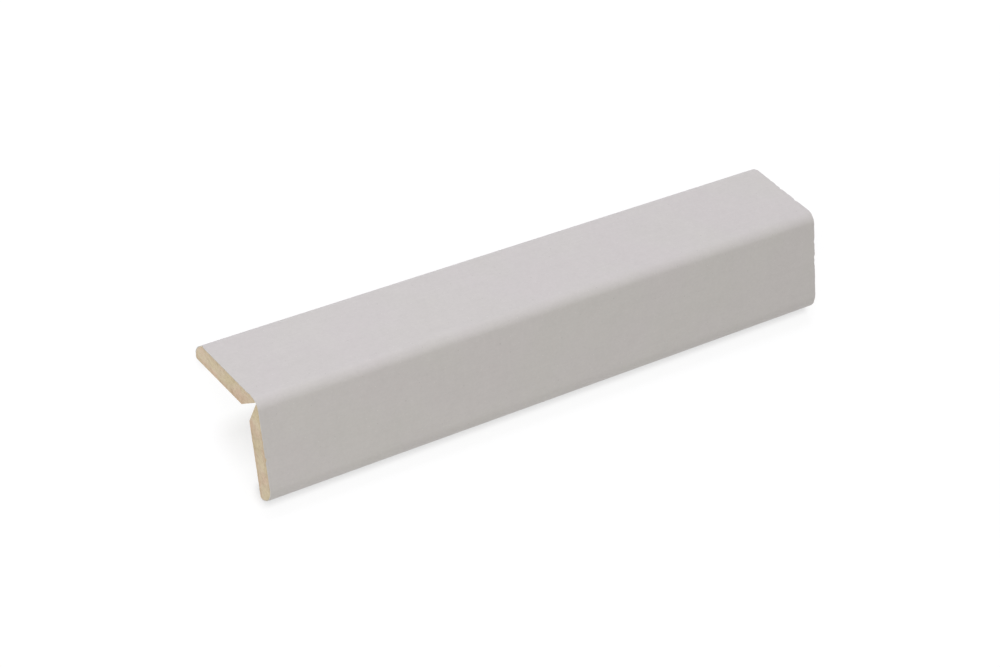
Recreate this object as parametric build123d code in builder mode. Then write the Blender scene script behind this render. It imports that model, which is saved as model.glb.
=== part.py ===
"""Folding corner trim: two strips of medium-density fibreboard under one decor foil.

Frame: the trim stands like a tent on the floor, ridge up, with both free edges on Z = 0.
X runs along the trim, the back leg goes down towards +Y and the front leg towards -Y.
The origin is on the floor, under the middle of the ridge.

Each leg's section is drawn in the leg's own plane. There, x runs from the sharp corner
that the two outer faces would make towards the free edge, and y runs from the outer face
into the leg. All sizes are in millimetres.
"""

from build123d import *
from math import asin, cos, degrees, radians, sin, tan
import os

# Overall sizes, foil included; the length is that of the longer edge, the back leg's free one
length = 154.0
leg_width = 25.0
leg_thickness = 4.8
fold_angle = 105.0

# Decor foil
foil_thickness = 0.2

# Ridge: the foil bends round it, and only the foil joins the two strips there
ridge_radius = 3.0
tip_gap = 0.3
mitre_angle = 53.0

# Free edges: a large round on the decor side, a small arris on the back, a flat between them
free_edge_radius = 3.8
arris_radius = 0.5
shortest_edge_flat = 0.3

# Sawn ends: seen from above, the one at low X leans out of square by this many degrees
near_end_skew = 2.3

# Placing of the two legs
quarter_turn = 90
half_fold = radians(fold_angle / 2)
half_turn = radians(quarter_turn - fold_angle / 2)

# Ridge, in a leg's plane
ridge_centre = (ridge_radius / tan(half_fold), ridge_radius)
strip_ridge_radius = ridge_radius - foil_thickness
tip_turn = half_turn - asin(tip_gap / 2 / strip_ridge_radius)
tip = (
    ridge_centre[0] - strip_ridge_radius * sin(tip_turn),
    ridge_centre[1] - strip_ridge_radius * cos(tip_turn),
)
mitre_foot = (tip[0] + (leg_thickness - tip[1]) * tan(radians(mitre_angle)), leg_thickness)

# Free edge, in a leg's plane: its round leaves room for the flat and the arris
edge_radius = min(free_edge_radius, leg_thickness - arris_radius - shortest_edge_flat)
free_edge_centre = (leg_width - edge_radius, edge_radius)
inner_edge_radius = edge_radius - foil_thickness
strip_width = leg_width - foil_thickness
arris_centre = (strip_width - arris_radius, leg_thickness - arris_radius)

# The strips rest on their arrises, which sets the height of the sharp corner
corner_height = arris_centre[0] * cos(half_fold) + arris_centre[1] * sin(half_fold) + arris_radius
corner = (0, 0, corner_height)
back_plane = Plane(origin=corner, x_dir=(0, sin(half_fold), -cos(half_fold)), z_dir=(-1, 0, 0))
front_plane = Plane(origin=corner, x_dir=(0, -sin(half_fold), -cos(half_fold)), z_dir=(1, 0, 0))

# Planes of the two sawn ends, both facing into the trim
half_span = free_edge_centre[0] * sin(half_fold) - free_edge_centre[1] * cos(half_fold) + edge_radius
skew = radians(near_end_skew)
near_end = Plane(origin=(-length / 2, half_span, 0), x_dir=(0, 0, 1), z_dir=(cos(skew), sin(skew), 0))
far_end = Plane(origin=(length / 2, 0, 0), x_dir=(0, 0, 1), z_dir=(-1, 0, 0))


def saw_ends():
    """Cuts the piece that is being built off at both ends of the trim."""
    split(bisect_by=near_end, keep=Keep.TOP)
    split(bisect_by=far_end, keep=Keep.TOP)


def strip_section(plane):
    """Returns the section of one strip, drawn in the plane of its leg."""
    with BuildSketch(plane) as section:
        with BuildLine():
            Line((ridge_centre[0], foil_thickness), (free_edge_centre[0], foil_thickness))
            decor_round = CenterArc(free_edge_centre, inner_edge_radius, -quarter_turn, quarter_turn)
            Line(decor_round @ 1, (strip_width, arris_centre[1]))
            arris = CenterArc(arris_centre, arris_radius, 0, quarter_turn)
            Line(arris @ 1, mitre_foot)
            Line(mitre_foot, tip)
            ridge_start = -quarter_turn - degrees(tip_turn)
            CenterArc(ridge_centre, strip_ridge_radius, ridge_start, degrees(tip_turn))
        make_face()
    return section.sketch


def foil_section(plane):
    """Returns the foil of one leg, from the middle of the ridge to the end of the free edge."""
    ridge_start = -quarter_turn - degrees(half_turn)
    with BuildSketch(plane) as section:
        with BuildLine():
            outer_ridge = CenterArc(ridge_centre, ridge_radius, ridge_start, degrees(half_turn))
            Line(outer_ridge @ 1, (free_edge_centre[0], 0))
            outer_round = CenterArc(free_edge_centre, edge_radius, -quarter_turn, quarter_turn)
            outer_flat = Line(outer_round @ 1, (leg_width, arris_centre[1]))
            foil_end = Line(outer_flat @ 1, (strip_width, arris_centre[1]))
            Line(foil_end @ 1, (strip_width, free_edge_centre[1]))
            inner_round = CenterArc(free_edge_centre, inner_edge_radius, -quarter_turn, quarter_turn)
            Line(inner_round @ 0, (ridge_centre[0], foil_thickness))
            inner_ridge = CenterArc(ridge_centre, strip_ridge_radius, ridge_start, degrees(half_turn))
            Line(inner_ridge @ 0, outer_ridge @ 0)
        make_face()
    return section.sketch


# Back strip, the upper leg when the front one stands upright
with BuildPart() as back_strip:
    extrude(strip_section(back_plane), amount=length, both=True)
    saw_ends()

# Front strip
with BuildPart() as front_strip:
    extrude(strip_section(front_plane), amount=length, both=True)
    saw_ends()

# One foil over both legs: half of it is drawn and mirrored across the ridge
with BuildPart() as foil_wrap:
    extrude(foil_section(back_plane), amount=length, both=True)
    mirror(about=Plane.XZ)
    saw_ends()

back_strip.part.label = "back_strip"
front_strip.part.label = "front_strip"
foil_wrap.part.label = "foil_wrap"

os.makedirs("parts", exist_ok=True)
export_step(back_strip.part, "parts/back_strip.step")
export_step(front_strip.part, "parts/front_strip.step")
export_step(foil_wrap.part, "parts/foil_wrap.step")
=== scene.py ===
"""Looks of the folding corner trim: two fibreboard strips, sawn and milled, under one matte decor foil.

Every length is in metres. A leg's section is drawn in the leg's own plane, where x runs from the sharp
corner of the outer faces towards the free edge, and y runs from the outer face into the leg.
"""

from math import asin, cos, radians, sin, tan

import bmesh
import bpy
import numpy as np
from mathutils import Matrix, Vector


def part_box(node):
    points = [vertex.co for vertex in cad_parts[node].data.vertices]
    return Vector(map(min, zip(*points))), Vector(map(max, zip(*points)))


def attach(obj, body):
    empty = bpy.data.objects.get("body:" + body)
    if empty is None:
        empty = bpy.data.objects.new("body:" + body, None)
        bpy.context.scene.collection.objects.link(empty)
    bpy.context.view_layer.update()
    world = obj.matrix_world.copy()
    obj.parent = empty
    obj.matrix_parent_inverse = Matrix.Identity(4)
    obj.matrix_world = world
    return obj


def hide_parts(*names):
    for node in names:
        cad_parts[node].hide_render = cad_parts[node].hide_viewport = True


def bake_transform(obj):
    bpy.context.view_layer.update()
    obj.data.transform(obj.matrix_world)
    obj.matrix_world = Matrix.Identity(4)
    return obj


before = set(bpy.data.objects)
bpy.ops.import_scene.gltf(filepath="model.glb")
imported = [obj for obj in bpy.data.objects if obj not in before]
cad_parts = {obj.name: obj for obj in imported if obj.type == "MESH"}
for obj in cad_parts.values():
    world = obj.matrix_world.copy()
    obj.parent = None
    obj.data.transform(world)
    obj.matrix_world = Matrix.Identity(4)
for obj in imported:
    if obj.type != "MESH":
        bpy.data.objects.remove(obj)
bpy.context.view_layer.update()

MM = 0.001
MM_PER_METRE = 1000.0

# The section's driving sizes
LEG_WIDTH = 25.0 * MM
LEG_THICKNESS = 4.8 * MM
FOLD = radians(105.0)
FOIL = 0.2 * MM
RIDGE_RADIUS = 3.0 * MM
TIP_GAP = 0.3 * MM
MITRE = radians(53.0)
FREE_RADIUS = 3.8 * MM
ARRIS_RADIUS = 0.5 * MM
NEAR_END_SKEW = radians(2.3)

# Places in a leg's plane that follow from them
QUARTER = radians(90.0)
HALF_FOLD = FOLD / 2
HALF_TURN = QUARTER - HALF_FOLD
STRIP_RIDGE_RADIUS = RIDGE_RADIUS - FOIL
TIP_TURN = HALF_TURN - asin(TIP_GAP / 2 / STRIP_RIDGE_RADIUS)
RIDGE_CENTRE = np.array((RIDGE_RADIUS / tan(HALF_FOLD), RIDGE_RADIUS))
FREE_CENTRE = np.array((LEG_WIDTH - FREE_RADIUS, FREE_RADIUS))
STRIP_WIDTH = LEG_WIDTH - FOIL
ARRIS_CENTRE = np.array((STRIP_WIDTH - ARRIS_RADIUS, LEG_THICKNESS - ARRIS_RADIUS))
TIP = RIDGE_CENTRE - STRIP_RIDGE_RADIUS * np.array((sin(TIP_TURN), cos(TIP_TURN)))
MITRE_FOOT = np.array((TIP[0] + (LEG_THICKNESS - TIP[1]) * tan(MITRE), LEG_THICKNESS))
CORNER_HEIGHT = ARRIS_CENTRE[0] * cos(HALF_FOLD) + ARRIS_CENTRE[1] * sin(HALF_FOLD) + ARRIS_RADIUS

# The trim's two sawn ends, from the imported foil; the low one is square only to within a few degrees
END_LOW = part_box("foil_wrap")[0].x
END_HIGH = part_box("foil_wrap")[1].x
HALF_SPAN = FREE_CENTRE[0] * sin(HALF_FOLD) - FREE_CENTRE[1] * cos(HALF_FOLD) + FREE_RADIUS

# Sides of the ridge
BACK = 1
FRONT = -1

# Mesh steps round the section of a strip and of half the foil
STRIP_STEPS = {"ridge": 5, "face": 84, "edge": 14, "flat": 1, "arris": 4}
FOIL_STEPS = {"ridge": 20, "face": 60, "edge": 16, "flat": 2}
SHARP_FROM = radians(35.0)

# Repeatable noise: factors, shifts and the top value of its whole-number hash
HASH_FACTORS = (73856093, 19349663, 83492791)
HASH_SEED_FACTOR = 2654435761
HASH_MIXER = 1274126177
HASH_FIRST_SHIFT = 13
HASH_LAST_SHIFT = 16
HASH_TOP = 0xFFFF

# Relief of a sawn fibreboard face
SAWN_MEAN_DEPTH = 0.045 * MM
FIBRE_DEPTH = 0.022 * MM
FIBRE_SIZE = 0.28 * MM
CLUMP_DEPTH = 0.016 * MM
CLUMP_SIZE = 1.1 * MM
SAW_MARK_DEPTH = 0.010 * MM
SAW_MARK_SIZE = 0.11 * MM
SAW_MARK_LEAN = 0.35

# Crumbling of the groove's sharp corners; the tip's reaches less far than the mitre foot's
CRUMBLE_DEPTH = 0.11 * MM
CRUMBLE_REACH = 0.45 * MM
CRUMBLE_SIZE = 2.2 * MM
CRUMBLE_COVER = 0.25
TIP_KEENNESS = 1.6

# Cut edges of the foil: the long ones wander, and the saw nibbled and chipped the ones at the ends
WANDER = 0.16 * MM
WANDER_SIZE = 6.0 * MM
NIBBLE = 0.04 * MM
NIBBLE_SIZE = 0.5 * MM
NIBBLED = 1.0 * MM
NEAR_CHIPPING = 0.8 * MM
FAR_CHIPPING = 0.4 * MM
CHIP_SIZE = 1.1 * MM
CHIP_FROM = 0.3
CHIP_MOST = 0.6

# Seeds of the noises; the strips add theirs to each of the first two
CRUMBLE_SEED = 2
SAWN_SEED = 3
WANDER_SEED = 40
NIBBLE_SEED = 50
CHIP_SEED = 70
BACK_STRIP_SEED = 11
FRONT_STRIP_SEED = 23

# Sockets of a mix node that blends colours, which has others of the same names
MIX_FACTOR = 0
MIX_FIRST = 6
MIX_SECOND = 7
MIX_RESULT = 2

# Light
WHITE = (1, 1, 1, 1)
AMBIENT = 0.49
AMBIENT_COLOUR = (1.0, 1.0, 0.93, 1)
COOL = (1.0, 1.0, 1.075)
WARM = (1.0, 1.0, 0.94)

# The floor's half width, and its grey for all light that isn't seen directly
FLOOR_HALF = 4.0
FLOOR_PLAIN = (0.60, 0.60, 0.60, 1)

# Seen directly it glows white. Where it shows shade, some of the glow is taken away, and the lamps' light on
# a surface of the lit grey makes up for that wherever the trim lets it through
FLOOR_WHITE = 1.03
FLOOR_SHADE = 0.85
FLOOR_LIT = 0.957
FLOOR_LIT_BLUE = 1.005

# Share of the shade that shows, against Y. It ends this far from the ridge, and this far past both ends
SHADE_REACH = 0.100
SHADE_SHARES = (
    (-0.100, 0.0), (-0.050, 0.26), (-0.0190, 0.27), (-0.0140, 0.23), (-0.0100, 0.21), (-0.0060, 0.30),
    (-0.0015, 0.38), (0.001, 0.25), (0.003, 0.10), (0.022, 0.08), (0.050, 0.18), (0.100, 0.0),
)

# Extra shade where something all but touches the floor
CONTACT_REACH = 0.002
CONTACT_SHADE = 1.5
CONTACT_SAMPLES = 8

# The photograph's view, from fitting the trim's outlines
CAMERA_PLACE = (-0.29639, -0.08388, 0.50684)
CAMERA_DEGREES = (20.328, -26.150, -26.433)
LENS = 92.471
SENSOR = 36.0
SHIFT = -0.1
CLIP_NEAR = 0.01
CLIP_FAR = 20.0


def to_frame(x, depth, side):
    """Y and Z of a leg's points; side is BACK or FRONT."""
    y = side * (x * sin(HALF_FOLD) - depth * cos(HALF_FOLD))
    z = CORNER_HEIGHT - x * cos(HALF_FOLD) - depth * sin(HALF_FOLD)
    return y, z


def along(place, y):
    """X of points at a place along the trim, which the slanted cut of the low end moves a little."""
    slant = tan(NEAR_END_SKEW) * (HALF_SPAN - y)
    return place + slant * (END_HIGH - place) / (END_HIGH - END_LOW)


def placed(place, section, side):
    """Points of a leg's section in the frame, at one place along the trim or at a column of them."""
    y, z = to_frame(section[..., 0], section[..., 1], side)
    return np.stack((along(place, y), y, z), axis=-1)


def arc(centre, radius, start, turn, steps):
    """Points of an arc in a leg's plane; angles run from the x axis towards the leg's back."""
    angle = start + turn * np.linspace(0, 1, steps + 1)
    return centre + radius * np.stack((np.cos(angle), np.sin(angle)), axis=1)


def line(start, end, steps):
    """Evenly spaced points of a straight run."""
    share = np.linspace(0, 1, steps + 1)[:, None]
    return np.asarray(start) * (1 - share) + np.asarray(end) * share


def chain(*runs):
    """Joins runs of points that follow each other, without doubling the shared ends."""
    return np.concatenate([runs[0]] + [run[1:] for run in runs[1:]])


def distances(points):
    """Distance of each point of a run from its start, along the run."""
    steps = np.linalg.norm(np.diff(points, axis=0), axis=1)
    return np.concatenate(([0.0], np.cumsum(steps)))


def shares(points):
    """Share of the whole length at which each point of a run lies."""
    run = distances(points)
    return run / run[-1]


def lattice(cells, seed):
    """Repeatable random values from 0 to 1 on whole-number grid points."""
    mixed = seed * HASH_SEED_FACTOR
    for axis, factor in enumerate(HASH_FACTORS):
        mixed = mixed ^ (cells[..., axis] * factor)
    mixed = (mixed ^ (mixed >> HASH_FIRST_SHIFT)) * HASH_MIXER
    return ((mixed ^ (mixed >> HASH_LAST_SHIFT)) & HASH_TOP) / HASH_TOP


def noise(points, size, seed):
    """Smooth noise from -1 to 1 at an array of points, with features of the given size."""
    scaled = np.asarray(points, float) / size
    base = np.floor(scaled).astype(np.int64)
    part = scaled - base
    part = part * part * (3 - 2 * part)
    total = np.zeros(scaled.shape[:-1])
    for corner in np.ndindex(2, 2, 2):
        picked = np.where(corner, part, 1 - part).prod(axis=-1)
        total += picked * lattice(base + np.array(corner), seed)
    return 2 * total - 1


def stations(fine, fine_steps, coarse_steps):
    """Places along the trim, close together near both ends and wider apart between them."""
    start = np.linspace(END_LOW, END_LOW + fine, fine_steps + 1)
    middle = np.linspace(END_LOW + fine, END_HIGH - fine, coarse_steps + 1)
    return np.concatenate((start, middle[1:-1], -start[::-1] + END_LOW + END_HIGH))


def numbered(points, first=0):
    """Vertex numbers for a grid of points, counted on from the first."""
    rows, columns = points.shape[:2]
    return first + np.arange(rows * columns).reshape(rows, columns)


def quads(numbers):
    """Faces between neighbouring points of a grid, given its vertex numbers."""
    around = (numbers[:-1, :-1], numbers[:-1, 1:], numbers[1:, 1:], numbers[1:, :-1])
    return np.stack(around, axis=-1).reshape(-1, 4)


def face_outward(mesh):
    """Turns the faces of a closed mesh so that all of them face outward."""
    turned = bmesh.new()
    turned.from_mesh(mesh)
    bmesh.ops.recalc_face_normals(turned, faces=turned.faces)
    turned.to_mesh(mesh)
    turned.free()


def new_mesh(name, vertices, faces, materials, face_materials):
    """Makes a smooth-shaded mesh object whose faces take their materials by number."""
    mesh = bpy.data.meshes.new(name)
    mesh.from_pydata(vertices.tolist(), [], faces.tolist())
    for material in materials:
        mesh.materials.append(material)
    mesh.polygons.foreach_set("material_index", face_materials)
    mesh.polygons.foreach_set("use_smooth", np.ones(len(faces), bool))
    face_outward(mesh)
    mesh.set_sharp_from_angle(angle=SHARP_FROM)
    piece = bpy.data.objects.new(name, mesh)
    bpy.context.scene.collection.objects.link(piece)
    return piece


def set_point_values(mesh, name, values):
    """Gives each vertex of a mesh a number that materials can read."""
    mesh.attributes.new(name, "FLOAT", "POINT").data.foreach_set("value", values.astype(np.float32))


def set_uv(mesh, name, points):
    """Gives a mesh a UV map, from one point for each of its vertices."""
    corners = np.empty(len(mesh.loops), np.int32)
    mesh.loops.foreach_get("vertex_index", corners)
    mesh.uv_layers.new(name=name).data.foreach_set("uv", points[corners].astype(np.float32).ravel())


def strip_section():
    """Grid of points over a strip's section: first index from the ridge to the free edge, second from
    the decor side to the back. Its four borders are the strip's true outline."""
    outer = chain(
        arc(RIDGE_CENTRE, STRIP_RIDGE_RADIUS, -QUARTER - TIP_TURN, TIP_TURN, STRIP_STEPS["ridge"]),
        line((RIDGE_CENTRE[0], FOIL), (FREE_CENTRE[0], FOIL), STRIP_STEPS["face"]),
    )
    edge = chain(
        arc(FREE_CENTRE, FREE_RADIUS - FOIL, -QUARTER, QUARTER, STRIP_STEPS["edge"]),
        line((STRIP_WIDTH, FREE_RADIUS), (STRIP_WIDTH, ARRIS_CENTRE[1]), STRIP_STEPS["flat"]),
        arc(ARRIS_CENTRE, ARRIS_RADIUS, 0, QUARTER, STRIP_STEPS["arris"]),
    )
    u = shares(outer)[:, None, None]
    v = shares(edge)[None, :, None]
    back = MITRE_FOOT * (1 - u) + edge[-1] * u
    groove = TIP * (1 - v) + MITRE_FOOT * v
    corners = (1 - u) * groove + u * (edge[0] * (1 - v) + edge[-1] * v)
    return (1 - v) * outer[:, None] + v * back + (1 - u) * groove + u * edge[None] - corners


def border(rows, columns):
    """Indices of the points round a grid, in order: one array for each of its two directions."""
    down = [(i, 0) for i in range(rows)] + [(rows - 1, j) for j in range(1, columns)]
    up = [(i, columns - 1) for i in range(rows - 2, -1, -1)] + [(0, j) for j in range(columns - 2, 0, -1)]
    return tuple(np.array(down + up).T)


def crumbled(outline, middle, places, seed):
    """A strip's outline at each place along the trim, its two corners at the groove a little crumbled."""
    corner_gap = np.minimum(
        np.linalg.norm(outline - MITRE_FOOT, axis=1),
        TIP_KEENNESS * np.linalg.norm(outline - TIP, axis=1),
    )
    softness = np.clip(1 - corner_gap / CRUMBLE_REACH, 0, 1) ** 2
    column = places[:, None]
    spots = np.stack(np.broadcast_arrays(column, 0 * column, outline[None, :, 0]), axis=-1)
    depth = CRUMBLE_DEPTH * np.clip(CRUMBLE_COVER + noise(spots, CRUMBLE_SIZE, seed), 0, 1) * softness
    inward = (middle - outline) / np.linalg.norm(middle - outline, axis=1)[:, None]
    return outline[None] + depth[..., None] * inward[None]


def sawn_depth(points, seed):
    """How far a sawn fibreboard face lies behind the plane of the cut: fibres, clumps and saw marks."""
    fibres = FIBRE_DEPTH * noise(points, FIBRE_SIZE, seed)
    clumps = CLUMP_DEPTH * noise(points, CLUMP_SIZE, seed + 1)
    marks = SAW_MARK_DEPTH * np.sin((points[..., 1] + SAW_MARK_LEAN * points[..., 2]) / SAW_MARK_SIZE)
    return np.maximum(SAWN_MEAN_DEPTH + fibres + clumps + marks, 0.0)


def fibreboard_strip(name, side, seed):
    """One strip as a closed mesh: two sawn ends with their relief, and walls with crumbled corners."""
    grid = strip_section()
    ring = border(*grid.shape[:2])
    outline = grid[ring]
    inside = grid[1:-1, 1:-1]
    places = stations(fine=1.2 * MM, fine_steps=6, coarse_steps=150)
    walls = crumbled(outline, grid.mean(axis=(0, 1)), places, seed + CRUMBLE_SEED)
    walls = placed(places[:, None], walls, side)
    wall_numbers = numbered(walls)
    wall_faces = quads(np.concatenate((wall_numbers, wall_numbers[:, :1]), axis=1))

    ends = []
    end_faces = []
    for index, (station, inward) in enumerate(((0, 1), (-1, -1))):
        end_seed = seed + SAWN_SEED + index
        walls[station, :, 0] += inward * sawn_depth(walls[station], end_seed)
        end = placed(places[station], inside, side)
        end[..., 0] += inward * sawn_depth(end, end_seed)
        numbers = np.empty(grid.shape[:2], int)
        numbers[ring] = wall_numbers[station]
        numbers[1:-1, 1:-1] = numbered(end, wall_numbers.size + index * end[..., 0].size)
        ends.append(end.reshape(-1, 3))
        end_faces.append(quads(numbers))

    sawn_faces = np.concatenate(end_faces)
    piece = new_mesh(
        name,
        np.concatenate([walls.reshape(-1, 3)] + ends),
        np.concatenate((wall_faces, sawn_faces)),
        (milled_fibreboard(), sawn_fibreboard()),
        np.repeat((0, 1), (len(wall_faces), len(sawn_faces))),
    )
    wall_depths = np.broadcast_to(outline[:, 1], walls.shape[:2]).ravel()
    inside_depths = inside[..., 1].ravel()
    depths = np.concatenate((wall_depths, inside_depths, inside_depths)) / LEG_THICKNESS
    set_point_values(piece.data, "depth", depths)
    return piece


def foil_half(offset):
    """Foil of one leg from the middle of the ridge to its end, at a depth below its outer surface."""
    return chain(
        arc(RIDGE_CENTRE, RIDGE_RADIUS - offset, -QUARTER - HALF_TURN, HALF_TURN, FOIL_STEPS["ridge"]),
        line((RIDGE_CENTRE[0], offset), (FREE_CENTRE[0], offset), FOIL_STEPS["face"]),
        arc(FREE_CENTRE, FREE_RADIUS - offset, -QUARTER, QUARTER, FOIL_STEPS["edge"]),
        line((LEG_WIDTH - offset, FREE_RADIUS), (LEG_WIDTH - offset, ARRIS_CENTRE[1]), FOIL_STEPS["flat"]),
    )


def foil_surface(offset, places):
    """The foil's surface at a depth below its outer one: a row of points round the trim for each place."""
    halves = []
    for side in (BACK, FRONT):
        half = np.repeat(foil_half(offset)[None], len(places), axis=0)
        spots = np.stack((places, places * 0 + side, places * 0), axis=-1)
        trimmed = WANDER * (0.5 + 0.5 * noise(spots, WANDER_SIZE, WANDER_SEED))
        half[:, -1, 1] -= trimmed
        half[:, -2, 1] -= trimmed / 2
        halves.append(placed(places[:, None], half, side))
    back, front = halves
    return np.concatenate((back[:, ::-1], front[:, 1:]), axis=1)


def chip_ends(outer, inner, places):
    """Takes the saw's nibbles and chips off the foil's two sawn ends."""
    last = len(places) - 1
    for station, inward, chipping in ((0, 1, NEAR_CHIPPING), (last, -1, FAR_CHIPPING)):
        edge = outer[station]
        nibble = NIBBLE * (1 + noise(edge, NIBBLE_SIZE, NIBBLE_SEED + station))
        chip = chipping * np.clip(noise(edge, CHIP_SIZE, CHIP_SEED + station) - CHIP_FROM, 0, CHIP_MOST)
        nearness = np.clip(1 - np.abs(places - places[station]) / NIBBLED, 0, 1)
        for surface in (outer, inner):
            surface[..., 0] += inward * nearness[:, None] * (nibble + chip)[None]


def decor_foil():
    """The foil as a closed sheet with its real thickness, wrapped from one free edge to the other."""
    places = stations(fine=NIBBLED, fine_steps=8, coarse_steps=110)
    outer = foil_surface(0.0, places)
    inner = foil_surface(FOIL, places)
    chip_ends(outer, inner, places)

    numbers = numbered(outer)
    inner_numbers = numbered(inner, numbers.size)
    decor = quads(numbers)
    rest = [quads(inner_numbers)[:, ::-1]]
    for end in (0, -1):
        rest.append(quads(np.stack((numbers[end], inner_numbers[end]))))
        rest.append(quads(np.stack((numbers[:, end], inner_numbers[:, end]))))
    rest = np.concatenate(rest)
    piece = new_mesh(
        "decor_foil",
        np.concatenate((outer.reshape(-1, 3), inner.reshape(-1, 3))),
        np.concatenate((decor, rest)),
        (foil_decor(), foil_core()),
        np.repeat((0, 1), (len(decor), len(rest))),
    )
    run = distances(foil_half(0.0))
    around = np.concatenate((-run[::-1], run[1:]))
    flat = np.stack(np.broadcast_arrays(places[:, None], around[None]), axis=-1).reshape(-1, 2) / MM
    set_uv(piece.data, "flat", np.concatenate((flat, flat)))
    return piece


def add(tree, kind, inputs=(), **settings):
    """Adds a shader node. An input takes a value, or a socket that is then linked to it."""
    node = tree.nodes.new(kind)
    for key, value in settings.items():
        setattr(node, key, value)
    for key, value in dict(inputs).items():
        if isinstance(value, bpy.types.NodeSocket):
            tree.links.new(value, node.inputs[key])
        else:
            node.inputs[key].default_value = value
    return node


def calc(tree, operation, *operands):
    """Result of a maths node."""
    return add(tree, "ShaderNodeMath", enumerate(operands), operation=operation).outputs[0]


def new_material(name):
    """An empty material, its tree and its output node."""
    material = bpy.data.materials.new(name)
    material.use_nodes = True
    material.node_tree.nodes.clear()
    return material, material.node_tree, add(material.node_tree, "ShaderNodeOutputMaterial")


def millimetres(tree):
    """The place on the piece, in millimetres."""
    place = add(tree, "ShaderNodeTexCoord").outputs["Object"]
    return add(tree, "ShaderNodeMapping", {"Vector": place, "Scale": (MM_PER_METRE,) * 3}).outputs[0]


def textured(tree, vector, scale, detail, roughness, stretch=(1.0, 1.0, 1.0), distortion=0.0):
    """A noise texture's value, in features per millimetre, stretched by an axis factor."""
    if stretch != (1.0, 1.0, 1.0):
        vector = add(tree, "ShaderNodeMapping", {"Vector": vector, "Scale": stretch}).outputs[0]
    values = {"Vector": vector, "Scale": scale, "Detail": detail, "Roughness": roughness}
    return add(tree, "ShaderNodeTexNoise", {**values, "Distortion": distortion}).outputs["Fac"]


def weighted(tree, *pairs):
    """Sum of sockets, each times its weight."""
    parts = [calc(tree, "MULTIPLY", socket, weight) for socket, weight in pairs]
    total = parts[0]
    for part in parts[1:]:
        total = calc(tree, "ADD", total, part)
    return total


def ramp(tree, value, *stops):
    """A colour ramp; each stop is a place and a linear colour."""
    node = add(tree, "ShaderNodeValToRGB", {"Fac": value})
    elements = node.color_ramp.elements
    while len(elements) < len(stops):
        elements.new(0.5)
    for element, (place, colour) in zip(elements, stops):
        element.position = place
        element.color = (*colour, 1)
    return node.outputs["Color"]


def spread(tree, value, source, target):
    """Maps a range of values, its low and high end, to another."""
    ends = {"From Min": source[0], "From Max": source[1], "To Min": target[0], "To Max": target[1]}
    return add(tree, "ShaderNodeMapRange", {"Value": value, **ends}).outputs[0]


def tint(tree, colour, factor, other, mode="MULTIPLY"):
    """Blends a colour into another by a factor socket."""
    values = {MIX_FACTOR: factor, MIX_FIRST: colour, MIX_SECOND: (*other, 1)}
    return add(tree, "ShaderNodeMix", values, data_type="RGBA", blend_type=mode).outputs[MIX_RESULT]


def relief(tree, height, distance, strength, under=None):
    """Normals of a bumpy surface, on top of the normals under it if there are any."""
    values = {"Height": height, "Distance": distance, "Strength": strength}
    if under is not None:
        values["Normal"] = under
    return add(tree, "ShaderNodeBump", values).outputs[0]


def set_surface(tree, output, colour, roughness, normal, specular):
    """Gives a material its shader; the specular level is a plain number."""
    values = {"Base Color": colour, "Roughness": roughness, "Normal": normal}
    shader = add(tree, "ShaderNodeBsdfPrincipled", {**values, "Specular IOR Level": specular})
    tree.links.new(shader.outputs[0], output.inputs[0])


def foil_decor():
    """Matte printed paper foil: fine fibre mottling, faint clouds and lines, sparse specks, a fine grain."""
    material, tree, output = new_material("foil_decor")
    uv = add(tree, "ShaderNodeUVMap", uv_map="flat").outputs[0]
    fibres = textured(tree, uv, 1.6, detail=5.0, roughness=0.62, stretch=(0.75, 1.0, 1.0), distortion=0.4)
    grain = textured(tree, uv, 4.5, detail=3.0, roughness=0.6)
    clouds = textured(tree, uv, 0.09, detail=3.0, roughness=0.5)
    patches = textured(tree, uv, 0.42, detail=2.0, roughness=0.5)
    lines = textured(tree, uv, 1.1, detail=3.0, roughness=0.55, stretch=(0.035, 1.0, 1.0))
    mottling = weighted(tree, (fibres, 0.38), (grain, 0.17), (patches, 0.17), (clouds, 0.15), (lines, 0.13))
    dark, light = (0.592, 0.563, 0.566), (0.646, 0.615, 0.618)
    colour = ramp(tree, mottling, (0.36, dark), (0.64, light))
    rosy, green = (1.0, 0.985, 1.0), (0.995, 1.0, 0.985)
    hue = textured(tree, uv, 0.05, detail=2.0, roughness=0.5)
    colour = tint(tree, colour, spread(tree, hue, (0.45, 0.65), (0.0, 0.6)), rosy)
    colour = tint(tree, colour, spread(tree, hue, (0.55, 0.35), (0.0, 0.6)), green)
    pale, deep = (0.80, 0.78, 0.77), (0.33, 0.31, 0.30)
    colour = specks(tree, uv, colour, fibres, density=0.16, radius=0.046, strength=0.38, shade=pale)
    colour = specks(tree, uv, colour, fibres, density=0.13, radius=0.040, strength=0.34, shade=deep)
    gloss = spread(tree, mottling, (0.36, 0.64), (0.56, 0.44))
    board_below = textured(tree, uv, 0.45, detail=3.0, roughness=0.55, stretch=(0.7, 1.0, 1.0))
    coarse = relief(tree, board_below, 0.06 * MM, 0.8)
    fine = relief(tree, weighted(tree, (fibres, 0.55), (grain, 0.45)), 0.010 * MM, 0.7, under=coarse)
    set_surface(tree, output, colour, gloss, fine, 0.4)
    return material


def specks(tree, uv, colour, ragged, density, radius, strength, shade):
    """Adds sparse pinpoint specks to a colour, one in a cell. Density is in cells per millimetre, radius in
    cells, and a ragged texture frays their rims."""
    values = {"Vector": uv, "Scale": density, "Randomness": 1.0}
    cells = add(tree, "ShaderNodeTexVoronoi", values, voronoi_dimensions="2D")
    distance = weighted(tree, (cells.outputs["Distance"], 1.0), (ragged, 0.042))
    speck = spread(tree, distance, (0.7 * radius, radius), (strength, 0.0))
    return tint(tree, colour, speck, shade, "MIX")


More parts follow.
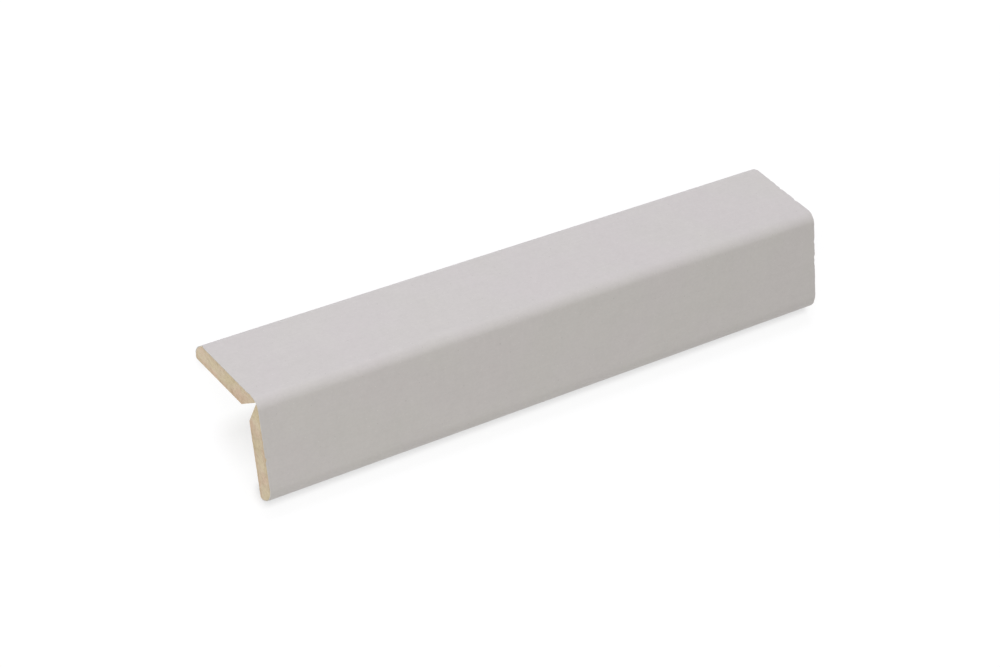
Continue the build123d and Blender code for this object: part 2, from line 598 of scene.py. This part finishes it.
def foil_core():
    """The foil's cut edges and its back with the glue on it, seen inside the groove."""
    material, tree, output = new_material("foil_core")
    place = millimetres(tree)
    fibres = textured(tree, place, 3.0, detail=4.0, roughness=0.6)
    glue = textured(tree, place, 0.8, detail=3.0, roughness=0.55, stretch=(0.5, 1.0, 1.0))
    dark, light = (0.56, 0.535, 0.52), (0.66, 0.635, 0.62)
    colour = ramp(tree, weighted(tree, (fibres, 0.5), (glue, 0.5)), (0.35, dark), (0.65, light))
    gloss = spread(tree, glue, (0.3, 0.7), (0.72, 0.42))
    set_surface(tree, output, colour, gloss, relief(tree, fibres, 0.02 * MM, 0.8), 0.35)
    return material


def sawn_fibreboard():
    """Sawn fibreboard: loose short fibres, denser and darker skins, fine saw marks."""
    material, tree, output = new_material("fibreboard_sawn")
    place = millimetres(tree)
    fibres = textured(tree, place, 2.6, detail=8.0, roughness=0.72, stretch=(1.0, 0.8, 1.3), distortion=0.8)
    bundles = textured(tree, place, 0.9, detail=4.0, roughness=0.6, stretch=(1.0, 0.7, 1.4))
    clouds = textured(tree, place, 0.16, detail=2.0, roughness=0.5)
    mix = weighted(tree, (fibres, 0.5), (bundles, 0.3), (clouds, 0.2))
    dark, middle, light = (0.532, 0.424, 0.299), (0.706, 0.593, 0.457), (0.818, 0.719, 0.583)
    colour = ramp(tree, mix, (0.36, dark), (0.5, middle), (0.64, light))
    rosy, yellow = (1.015, 0.945, 0.97), (0.985, 1.0, 0.935)
    hue = textured(tree, place, 0.2, detail=2.0, roughness=0.5)
    colour = tint(tree, colour, spread(tree, hue, (0.47, 0.62), (0.0, 1.0)), rosy)
    colour = tint(tree, colour, spread(tree, hue, (0.47, 0.34), (0.0, 1.0)), yellow)

    # The attribute runs from 0 at the decor side to 1 at the back
    skin_shade, mark_shade = (0.90, 0.86, 0.80), (0.90, 0.87, 0.82)
    depth = add(tree, "ShaderNodeAttribute", attribute_name="depth").outputs["Fac"]
    from_middle = calc(tree, "ABSOLUTE", calc(tree, "SUBTRACT", depth, 0.5))
    colour = tint(tree, colour, spread(tree, from_middle, (0.24, 0.46), (0.0, 0.75)), skin_shade)
    values = {"Vector": place, "Scale": 0.75, "Distortion": 1.2, "Detail": 2.0}
    marks = add(tree, "ShaderNodeTexWave", values, bands_direction="DIAGONAL").outputs["Fac"]
    colour = tint(tree, colour, spread(tree, marks, (0.0, 1.0), (0.0, 0.35)), mark_shade)
    set_surface(tree, output, colour, 0.92, relief(tree, mix, 0.06 * MM, 0.9), 0.2)
    return material


def milled_fibreboard():
    """Sanded and milled fibreboard: even fine speckle, dark fibre flecks, lines along the feed."""
    material, tree, output = new_material("fibreboard_milled")
    place = millimetres(tree)
    fibres = textured(tree, place, 2.2, detail=7.0, roughness=0.68, stretch=(0.6, 1.0, 1.0), distortion=0.5)
    flecks = textured(tree, place, 1.0, detail=3.0, roughness=0.6, stretch=(0.35, 1.2, 1.2), distortion=0.8)
    clouds = textured(tree, place, 0.11, detail=3.0, roughness=0.5)
    lines = textured(tree, place, 2.4, detail=2.0, roughness=0.5, stretch=(0.02, 1.0, 1.0))
    mix = weighted(tree, (fibres, 0.45), (clouds, 0.3), (lines, 0.25))
    dark, light, fleck_shade = (0.585, 0.47, 0.32), (0.735, 0.615, 0.45), (0.62, 0.50, 0.36)
    colour = ramp(tree, mix, (0.34, dark), (0.66, light))
    colour = tint(tree, colour, spread(tree, flecks, (0.64, 0.74), (0.0, 0.55)), fleck_shade)
    gloss = spread(tree, fibres, (0.3, 0.7), (0.85, 0.68))
    height = weighted(tree, (fibres, 0.7), (lines, 0.3))
    set_surface(tree, output, colour, gloss, relief(tree, height, 0.02 * MM, 0.8), 0.3)
    return material


def seen_directly(tree):
    """1 for rays from the camera, a mirror-like surface or glass, else 0."""
    path = add(tree, "ShaderNodeLightPath").outputs
    found = calc(tree, "MAXIMUM", path["Is Camera Ray"], path["Is Glossy Ray"])
    return calc(tree, "MAXIMUM", found, path["Is Transmission Ray"])


def shade_share(tree):
    """How strongly a place on the floor shows the shade, by its distance from the ridge and the ends."""
    place = add(tree, "ShaderNodeNewGeometry").outputs["Position"]
    place = add(tree, "ShaderNodeSeparateXYZ", {0: place}).outputs
    across = spread(tree, place["Y"], (-SHADE_REACH, SHADE_REACH), (0.0, 1.0))
    stops = [(0.5 + y / SHADE_REACH / 2, (share, share, share)) for y, share in SHADE_SHARES]
    beside = calc(tree, "ABSOLUTE", place["X"])
    near = spread(tree, beside, (END_HIGH + SHADE_REACH / 2, END_HIGH + SHADE_REACH), (1.0, 0.0))
    return calc(tree, "MULTIPLY", ramp(tree, across, *stops), near)


def floor_material():
    """White with a share of the trim's shade and a narrow rim of contact shade, as far as it is seen
    directly; to all other light a plain pale surface."""
    material, tree, output = new_material("floor")
    share = shade_share(tree)
    lit = calc(tree, "MULTIPLY", share, FLOOR_LIT)
    lit_blue = calc(tree, "MULTIPLY", share, FLOOR_LIT_BLUE)
    grey = add(tree, "ShaderNodeCombineColor", {0: lit, 1: lit, 2: lit_blue}).outputs[0]
    lamps = add(tree, "ShaderNodeBsdfDiffuse", {"Color": grey}).outputs[0]
    values = {"Distance": CONTACT_REACH}
    openness = add(tree, "ShaderNodeAmbientOcclusion", values, samples=CONTACT_SAMPLES).outputs["AO"]
    taken = spread(tree, openness, (0.0, 1.0), (-FLOOR_SHADE - CONTACT_SHADE, -FLOOR_SHADE))
    given = calc(tree, "MULTIPLY_ADD", share, taken, FLOOR_WHITE)
    glow = add(tree, "ShaderNodeEmission", {"Color": WHITE, "Strength": given}).outputs[0]
    white = add(tree, "ShaderNodeAddShader", {0: lamps, 1: glow}).outputs[0]
    plain = add(tree, "ShaderNodeBsdfDiffuse", {"Color": FLOOR_PLAIN}).outputs[0]
    mix = add(tree, "ShaderNodeMixShader", {0: seen_directly(tree), 1: plain, 2: white})
    tree.links.new(mix.outputs[0], output.inputs[0])
    return material


def floor():
    """A level square floor under the trim."""
    mesh = bpy.data.meshes.new("floor")
    corners = [(x * FLOOR_HALF, y * FLOOR_HALF, 0) for x, y in ((-1, -1), (1, -1), (1, 1), (-1, 1))]
    mesh.from_pydata(corners, [], [range(len(corners))])
    mesh.materials.append(floor_material())
    plane = bpy.data.objects.new("floor", mesh)
    bpy.context.scene.collection.objects.link(plane)


def surroundings():
    """Even pale light from all round, white where it is seen."""
    world = bpy.data.worlds.new("studio")
    world.use_nodes = True
    tree = world.node_tree
    tree.nodes.clear()
    even = add(tree, "ShaderNodeBackground", {"Color": AMBIENT_COLOUR, "Strength": AMBIENT}).outputs[0]
    white = add(tree, "ShaderNodeBackground", {"Color": WHITE, "Strength": 1.0}).outputs[0]
    mix = add(tree, "ShaderNodeMixShader", {0: seen_directly(tree), 1: even, 2: white}).outputs[0]
    output = add(tree, "ShaderNodeOutputWorld")
    tree.links.new(mix, output.inputs[0])
    bpy.context.scene.world = world


def soft_light(name, place, size, power, colour):
    """A square area light aimed at the floor under the middle of the trim."""
    lamp = bpy.data.lights.new(name, "AREA")
    lamp.size = size
    lamp.energy = power
    lamp.color = colour
    light = bpy.data.objects.new(name, lamp)
    light.location = place
    light.rotation_euler = (-Vector(place)).to_track_quat("-Z", "Y").to_euler()
    bpy.context.scene.collection.objects.link(light)


def camera():
    """The camera at the photograph's place, with its aim and lens."""
    data = bpy.data.cameras.new("camera")
    data.sensor_width = SENSOR
    data.lens = LENS
    data.shift_x = SHIFT
    data.clip_start = CLIP_NEAR
    data.clip_end = CLIP_FAR
    eye = bpy.data.objects.new("camera", data)
    eye.location = CAMERA_PLACE
    eye.rotation_euler = [radians(turn) for turn in CAMERA_DEGREES]
    bpy.context.scene.collection.objects.link(eye)
    bpy.context.scene.camera = eye


back_strip = fibreboard_strip("fibreboard_back", BACK, BACK_STRIP_SEED)
front_strip = fibreboard_strip("fibreboard_front", FRONT, FRONT_STRIP_SEED)
foil = decor_foil()

for piece, body, node in (
    (back_strip, "back_leg", "back_strip"),
    (front_strip, "front_leg", "front_strip"),
):
    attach(piece, body)
    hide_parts(node)
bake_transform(foil)
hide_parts("foil_wrap")

floor()
surroundings()
soft_light("key", place=(-0.22, 0.30, 0.62), size=0.5, power=0.65, colour=COOL)
soft_light("back", place=(0.05, 0.60, 0.55), size=0.3, power=2.2, colour=COOL)
soft_light("fill", place=(-0.26, -0.43, 0.33), size=0.4, power=0.52, colour=WARM)
soft_light("side", place=(-0.60, -0.05, 0.14), size=0.3, power=0.80, colour=WARM)
camera()
bpy.context.scene.view_settings.view_transform = "Standard"
